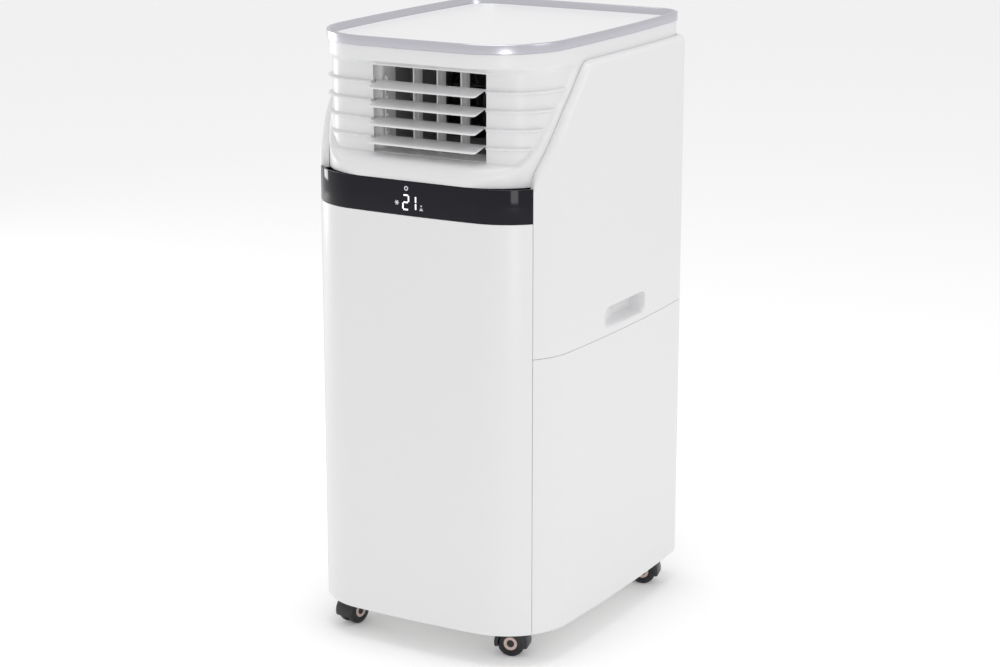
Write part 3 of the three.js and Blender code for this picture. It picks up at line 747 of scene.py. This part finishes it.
def rear_columns(windows):
    """Lengths for the columns of a rear shell, from the right seam round the back to the left.

    Columns are close at the slanting edge and the grip, and fall on each window's edges.
    """
    seam = SEAM_S + SEAM_GAP
    y_side = np.concatenate([
        np.arange(-194.4, -184, 0.7), np.arange(-184, -72, 2.2), np.arange(-72, -50, 4.0),
        np.arange(-50, 84, 1.6), np.arange(84, 186, 8.0),
    ])
    x_edges = sorted({abs(x) for window in windows for x in window[:2]} | {20.0, 50.0, 97.0}, reverse=True)
    corner = np.linspace(BODY.s_at_y(186.0), BODY.s_at_rear_x(136.0), 20)[:-1]
    flat = BODY.s_at_rear_x([x for x in x_edges if 0 < x < 140])
    right = np.unique(np.concatenate([[seam], BODY.s_at_y(y_side), corner, flat]))
    right = right[(right >= seam) & (right < BODY.total - 0.01)]
    return np.concatenate([right, [BODY.total], 2 * BODY.total - right[::-1]])


def round_hole(x, height, half, radius):
    """Flat plate with a round hole: circle points blended out to a square, on the rear bow."""
    angle = np.linspace(0, 2 * math.pi, 64, endpoint=False) + math.pi / 4
    ray = np.stack([np.cos(angle), np.sin(angle)], 1)
    square = ray / np.abs(ray).max(1, keepdims=True) * half
    share = np.linspace(0, 1, 4)[None, :, None]
    flat = ray[:, None] * radius * (1 - share) + square[:, None] * share
    px, pz = flat[..., 0] + x, flat[..., 1] + height
    rear = np.interp(-np.abs(px), -BODY.points[BACK_ARCS, 0], BODY.points[BACK_ARCS, 1])
    return np.stack([px, rear, pz + LIFT], -1)


def shell_mesh(name, points, s, height, windows, holes):
    """Grid of the shell without its windows, and a plate with its round hole in each hole's."""
    mid_x = (points[1:, :-1, 0] + points[:-1, 1:, 0]) / 2
    mid_y = points[:-1, :-1, 1]
    mid_z = (height[:-1, 1:] + height[:-1, :-1]) / 2
    open_faces = np.zeros(mid_x.shape, bool)
    for x0, x1, z0, z1 in windows:
        open_faces |= (mid_y > 210) & (mid_x > x0) & (mid_x < x1) & (mid_z > z0) & (mid_z < z1)
    faces = grid_faces(*points.shape[:2], keep=~open_faces)
    parts, start = [points.reshape(-1, 3)], points.shape[0] * points.shape[1]
    for hole in holes:
        plate = round_hole(*hole)
        faces += grid_faces(*plate.shape[:2], start, close_rows=True)
        parts.append(plate.reshape(-1, 3))
        start += plate.shape[0] * plate.shape[1]
    shell = lay_mesh(name, np.concatenate(parts), faces, WHITE, sharp=50)
    give_wall(shell, WALL, 0.5)
    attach(shell, "cabinet")
    return shell


def hole_windows(holes):
    """The square of each round hole as a window."""
    return [(x - half, x + half, z - half, z + half) for x, z, half, _ in holes]


def rear_upper_shell():
    """Upper shell: body outline less a quarter-round along its upper edge and the grip pockets.

    The quarter-round's inset is r - sqrt(r² - (r - d)²) at distance d from the edge; a last
    row turns in to the head.
    """
    low = SIDE_SEAM + GAP
    windows = [UPPER_WINDOW] + hole_windows(UPPER_HOLES)
    s = rear_columns(windows)
    flat, normals = BODY.at(s)
    y = flat[:, 1]
    top = np.interp(y, SHELL_EDGE[:, 0], SHELL_EDGE[:, 1])
    fixed = np.unique(np.concatenate([
        [low, 381, 383], np.arange(384.5, 423, 1.3), np.linspace(423, 585, 14), [386.0, 538.0],
    ]))
    share = np.unique(np.concatenate([
        np.linspace(0, 0.78, 14), (np.array([735.0, 747.0]) - 585) / (SHOULDER - 585),
        np.linspace(0.8, 1, 26),
    ]))[1:]
    height = np.concatenate([
        np.broadcast_to(fixed, (len(s), len(fixed))), 585 + (top[:, None] - 585) * share,
    ], 1)
    distance = edge_distance(np.repeat(y[:, None], height.shape[1], 1), height)
    clearance = head_clearance(flat)[:, None] - 0.6
    radius = np.minimum(np.interp(height, [596, 636], [0.8, 9.5]), clearance - 0.5)
    radius = np.maximum(radius, 0.5)
    short = np.clip(radius - distance, 0, None)
    inset = radius - np.sqrt(np.maximum(radius ** 2 - short ** 2, 0))
    side = (np.abs(normals[:, :1]) > 0.9)
    inset = inset + np.where(side, grip_depth(y[:, None], height), 0)
    last = np.maximum(clearance, inset[:, -1:])
    inset = np.concatenate([inset, last], 1)
    height = np.concatenate([height, height[:, -1:]], 1)
    plan = flat[:, None, :] - normals[:, None, :] * inset[..., None]
    points = np.concatenate([plan, height[..., None] + LIFT], -1)
    shell = shell_mesh("rear_upper_moulding", points, s, height, windows, UPPER_HOLES)
    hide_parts("rear_upper_shell", "grip_cup_left", "grip_cup_right")


def rear_lower_shell():
    """Lower shell: the body outline straight up, with a small round at its lower edge."""
    windows = [LOWER_WINDOW] + hole_windows(LOWER_HOLES)
    s = rear_columns(windows)
    flat, normals = BODY.at(s)
    levels = sorted({z for window in windows for z in window[2:]}
                    | {0.2, 0.6, 1.4, 3.0, 14.0, 100.0, 150.0, 200.0, 250.0, 300.0, SIDE_SEAM - GAP})
    height = np.broadcast_to(np.array(levels), (len(s), len(levels)))
    inset = 1.2 * (1 - np.clip(height / 2.0, 0, 1)) ** 2
    plan = flat[:, None, :] - normals[:, None, :] * inset[..., None]
    points = np.concatenate([plan, height[..., None] + LIFT], -1)
    shell = shell_mesh("rear_lower_moulding", points, s, height, windows, LOWER_HOLES)
    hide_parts("rear_lower_shell")


# ------------------------------------------------------------------ outlet duct

def outlet_duct():
    """Square loops carried back from the mouth: a flare to the throat, then straight walls.

    Each loop is (depth, left, right); the loops run down the inside and return along the
    outside, and close on each other.
    """
    low, high, wall = OUTLET_LOW + 0.5, OUTLET_HIGH - 0.5, 1.8
    inside = [(-196.5, -96.5, 96.7), (-189.5, -96.3, 96.5), (-188.0, -95.0, 96.4), (-182.0, -74.0, 96.0),
              (-179.5, -72.3, 95.8), (-176.0, -72.0, 95.6), (-150.0, -72.0, 94.5), (-112.5, -72.0, 73.0)]
    loops = [(y, left, right, low, high) for y, left, right in inside]
    loops += [(y, left - wall, right + wall, low - wall, high + wall) for y, left, right in inside[::-1]]
    y, left, right, down, up = np.array(loops).T
    x = np.stack([left, right, right, left], 1)
    z = np.stack([down, down, up, up], 1) + LIFT
    grid = np.stack([x, np.broadcast_to(y[:, None], x.shape), z], -1)
    duct = lay_mesh("outlet_duct_moulding", grid, grid_faces(*grid.shape[:2], close_rows=True,
                                                             close_columns=True), DUCT, sharp=40)
    merge(duct, 40)
    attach(duct, "cabinet")
    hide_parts("outlet_duct")


# ------------------------------------------------------------------ louvre blades

def louvre_blades():
    """Blade: a thin aerofoil of 27 mm chord carried from left to right, tapering at its tips.

    Chord points are (distance behind the pivot, thickness); the front edge is drawn in by the
    taper over the last 6 mm, and the section is turned about the pivot by the rest tilt. The
    pins run on past both tips to 95.2 mm from the middle.
    """
    left, right = -72, 90
    chord = np.array([(2.4, 0.0), (1.8, 1.1), (0.5, 1.5), (-8, 1.4), (-18, 1.2), (-24, 1.1), (-26.2, 0.9),
                      (-27, 0.2), (-27, -0.8), (-26.2, -1.5), (-24, -1.6), (-18, -1.4), (-8, -1.4),
                      (0.5, -1.5), (1.8, -1.1)])
    tip = np.array([0, 0.3, 0.8, 1.6, 3, 6])
    x = np.concatenate([left + tip, np.linspace(left + 10, right - 10, 15), right - tip[::-1]])
    near = np.minimum(x - left, right - x)
    reach = 1 - 0.12 * (1 - np.clip(near / 6, 0, 1)) ** 2
    thick = np.sqrt(1 - (1 - np.clip(near / 1.6, 0.12, 1)) ** 2)
    a = np.where(chord[:, 0] < 0, chord[:, 0] * reach[:, None], chord[:, 0])
    b = chord[:, 1] * thick[:, None]
    cosine, sine = math.cos(BLADE_TILT), math.sin(BLADE_TILT)
    for row, level in enumerate(BLADE_HEIGHTS, 1):
        y = BLADE_PIVOT_Y + a * cosine - b * sine
        z = level + LIFT + a * sine + b * cosine
        grid = np.stack([np.broadcast_to(x[:, None], y.shape), y, z], -1)
        rows, columns = grid.shape[:2]
        faces = grid_faces(rows, columns, close_columns=True)
        faces += [list(range(columns))[::-1], [(rows - 1) * columns + k for k in range(columns)]]
        blade = lay_mesh(f"louvre_blade_moulding_{row}", grid, faces, WHITE, sharp=50)
        merge(blade, 50)
        crank_y = BLADE_PIVOT_Y + 12 * cosine
        crank_z = level + LIFT + 12 * sine
        pins = lathe_mesh(f"louvre_pins_{row}", [
            ([(0, -95.2), (1.5, -95.2), (1.5, 95.2), (0, 95.2)], (0, BLADE_PIVOT_Y, level + LIFT), (1, 0, 0)),
            ([(0, -1), (2.9, -1), (2.9, 1), (0, 1)], (-64, crank_y, crank_z), (1, 0, 0)),
        ], WHITE)
        for piece in (blade, pins):
            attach(piece, f"louvre_{row}")
        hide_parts(f"louvre_blade_{row}")


# ------------------------------------------------------------------ casters

def turned(place, heading, local):
    """A point of a caster, from its own frame about the stem, in the row frame."""
    a = math.radians(heading)
    x, y, z = local
    return (place[0] + x * math.cos(a) - y * math.sin(a), place[1] + x * math.sin(a) + y * math.cos(a), z)


def casters():
    """Twin-wheel casters: lathe-turned wheels with a domed rim under a part-turn hood."""
    r = WHEEL_RADIUS
    disc = [(0, 3.8), (r - 2, 3.8), (r - 0.6, 4.4), (r, 6.0), (r, 9.5), (r - 0.8, 11.6), (r - 3.0, 13.0),
            (r - 6.4, 13.6), (r - 6.9, 12.6), (0, 12.2)]
    hub = [(5.2, 12.1), (9.2, 12.1), (9.4, 12.8), (8.8, 13.5), (5.8, 13.5), (5.2, 12.9), (5.2, 12.1)]
    mirrored = [(radius, -along) for radius, along in disc][::-1]
    hub_far = [(radius, -along) for radius, along in hub][::-1]
    for index, (place, heading) in enumerate(CASTERS, 1):
        a = math.radians(heading)
        axle = (-math.sin(a), math.cos(a), 0)
        centre = turned(place, heading, (CASTER_TRAIL, 0, r))
        wheels = lathe_mesh(f"caster_tread_{index}", [
            (disc, centre, axle), (mirrored, centre, axle),
            ([(0, -5), (3, -5), (3, 5), (0, 5)], centre, axle),
        ], NYLON)
        caps = lathe_mesh(f"caster_hub_{index}", [(hub, centre, axle), (hub_far, centre, axle)], HUB)
        for piece in (wheels, caps):
            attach(piece, f"roller_{index}")
        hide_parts(f"caster_wheel_{index}")
        hood(index, place, heading, centre, axle)


def hood(index, place, heading, centre, axle):
    """Hood over the wheels: an arch with rounded shoulders turned through part of a circle."""
    r = WHEEL_RADIUS
    arch = [(r - 2.0, -14.2), (r + 0.9, -14.2), (r + 2.2, -13.2), (r + 2.9, -11.4), (r + 2.9, 11.4),
            (r + 2.2, 13.2), (r + 0.9, 14.2), (r - 2.0, 14.2)]
    grid, _ = lathe(arch, centre, axle, steps=40, turn=(-104, 104))
    cover = lay_mesh(f"caster_hood_{index}_cover", grid,
                     [face[::-1] for face in grid_faces(*grid.shape[:2])], NYLON, sharp=60)
    give_wall(cover, 1.4, 0.4)
    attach(cover, f"swivel_{index}")
    x, y, _ = turned(place, heading, (0, 0, 0))
    post = lathe_mesh(f"caster_stem_{index}", [
        ([(0, 32), (10, 32), (11.6, 34), (12, 43.6), (5, 43.7), (5, 50.6), (0, 50.8)], (x, y, 0), (0, 0, 1)),
        ([(0, -3.1), (11.5, -3.1), (11.5, 3.1), (0, 3.1)], centre, axle),
    ], NYLON)
    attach(post, f"swivel_{index}")
    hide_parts(f"caster_hood_{index}")


# ------------------------------------------------------------------ plain nodes

PLAIN = {
    "base_tray": TEXTURED, "louvre_link_rod": TEXTURED,
    "vane_1": TEXTURED, "vane_2": TEXTURED, "vane_3": TEXTURED, "vane_link_bar": TEXTURED,
    "upper_intake_grille": WHITE, "lower_intake_grille": WHITE,
    "exhaust_collar": CHARCOAL, "upper_drain_plug": CHARCOAL, "lower_drain_plug": CHARCOAL,
    "cord_gland": CHARCOAL, "mid_tray": TEXTURED, "bulkhead": galvanised_steel(),
    "upper_blower_housing": grey_foam(), "upper_fan_wheel": CHARCOAL,
    "lower_blower_housing": CHARCOAL, "lower_fan_wheel": CHARCOAL,
    "compressor": black_enamel(), "control_box": CHARCOAL, "display_board": solder_resist(),
    "splash_wheel": TEXTURED,
}
COIL = rolled_aluminium()
FILTER = woven_filter()
STEEL = galvanised_steel()
PLAIN.update({"evaporator": COIL, "condenser": COIL, "upper_filter": FILTER, "lower_filter": FILTER})
PLAIN.update({name: STEEL for name in ("upper_fan_motor", "lower_fan_motor", "splash_motor")})
PLAIN.update({f"rear_screw_{k}": STEEL for k in range(1, 7)})


def paint_plain_nodes():
    """Gives each CAD node that is shown as it is its own material."""
    for name, material in PLAIN.items():
        slots = nodes[name].data.materials
        slots.clear()
        slots.append(material)


# ------------------------------------------------------------------ studio

def studio():
    """A wide white floor, an even white sky, two large softboxes and two low strips."""
    corners = [(x * FLOOR_REACH, y * FLOOR_REACH, 0) for x, y in ((-1, -1), (1, -1), (1, 1), (-1, 1))]
    floor = lay_mesh("studio_floor", corners, [[0, 1, 2, 3]], painted_floor())
    world = bpy.data.worlds.new("studio_world")
    bpy.context.scene.world = world
    world.use_nodes = True
    tree = world.node_tree
    back = tree.nodes["Background"]
    back.inputs["Color"].default_value = (1, 1, 1, 1)
    back.inputs["Strength"].default_value = 0.78
    bpy.context.scene.view_settings.view_transform = "Standard"
    soft_light("left_strip", (-2.8, 0.3, 0.55), (0, 0, 0.45), 0.7, 10)
    soft_light("front_strip", (2.1, -2.5, 0.45), (0, 0, 0.45), 0.6, 5)
    soft_light("right_softbox", (2.6, 0.2, 1.9), (0, 0, 0.5), 1.2, 7)
    soft_light("top_softbox", (0.0, -0.2, 2.8), (0, 0, 0.6), 1.4, 16)


def soft_light(name, place, target, size, power):
    """A square area light at a place, in metres, turned to its target."""
    data = bpy.data.lights.new(name, "AREA")
    data.size = size
    data.energy = power
    lamp = bpy.data.objects.new(name, data)
    lamp.location = place
    lamp.rotation_euler = (Vector(target) - Vector(place)).to_track_quat("-Z", "Y").to_euler()
    bpy.context.scene.collection.objects.link(lamp)


def camera():
    """A long lens from the front right, a little above, level across and without shift."""
    data = bpy.data.cameras.new("camera")
    data.sensor_width = 36
    data.lens = 86.46
    eye = bpy.data.objects.new("camera", data)
    eye.location = (1.6276, -2.7955, 1.2433)
    yaw, pitch = math.radians(30.21), math.radians(14.73)
    ahead = Vector((-math.sin(yaw) * math.cos(pitch), math.cos(yaw) * math.cos(pitch), -math.sin(pitch)))
    eye.rotation_euler = ahead.to_track_quat("-Z", "Y").to_euler()
    bpy.context.scene.collection.objects.link(eye)
    bpy.context.scene.camera = eye


front_panel()
display_window()
display_symbols()
head_shell()
dish_ribs()
top_rim()
top_plate()
rear_upper_shell()
rear_lower_shell()
outlet_duct()
louvre_blades()
casters()
paint_plain_nodes()
studio()
camera()
